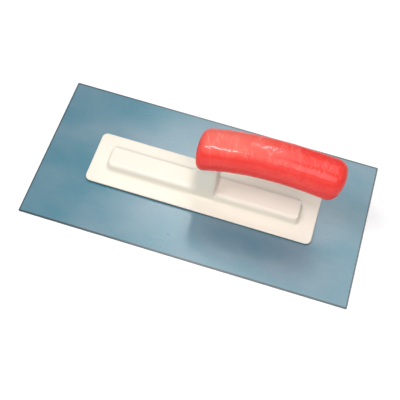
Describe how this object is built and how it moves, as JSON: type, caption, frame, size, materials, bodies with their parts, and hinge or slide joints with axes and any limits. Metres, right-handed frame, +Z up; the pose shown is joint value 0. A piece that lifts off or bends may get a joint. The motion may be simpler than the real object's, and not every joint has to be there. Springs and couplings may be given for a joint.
{
  "type": "finishing trowel",
  "caption": "Rectangular sheet steel finishing trowel with a moulded ribbed mounting and an arched vinyl-covered handle on a single post.",
  "frame": {"origin": "centre of the blade's working face, which rests at Z = 0", "axes": "+X along the blade towards the free end of the handle, +Y across the blade, +Z up from the working face"},
  "size_m": [0.28, 0.14, 0.0885],
  "materials": {
    "blade_steel": "blue-grey satin rolled sheet steel with a faint grain along its length",
    "zinc_steel": "zinc plated steel",
    "cream_plastic": "cream satin moulded plastic",
    "core_plastic": "grey rigid moulded plastic, hidden in the grip",
    "red_vinyl": "glossy red vinyl with fine shallow wrinkles"
  },
  "bodies": {
    "root": {"blade": "blade_steel", "blade_stud_01": "zinc_steel", "blade_stud_02": "zinc_steel", "blade_stud_03": "zinc_steel", "blade_stud_04": "zinc_steel", "blade_stud_05": "zinc_steel", "blade_stud_06": "zinc_steel", "blade_stud_07": "zinc_steel", "blade_stud_08": "zinc_steel", "blade_stud_09": "zinc_steel", "blade_stud_10": "zinc_steel", "mounting": "cream_plastic", "backing_plate": "zinc_steel", "lock_washer": "zinc_steel", "handle_bolt": "zinc_steel", "nut_washer": "zinc_steel", "handle_nut": "zinc_steel", "handle_core_left": "core_plastic", "handle_core_right": "core_plastic", "handle_grip": "red_vinyl"}
  },
  "joints": []
}
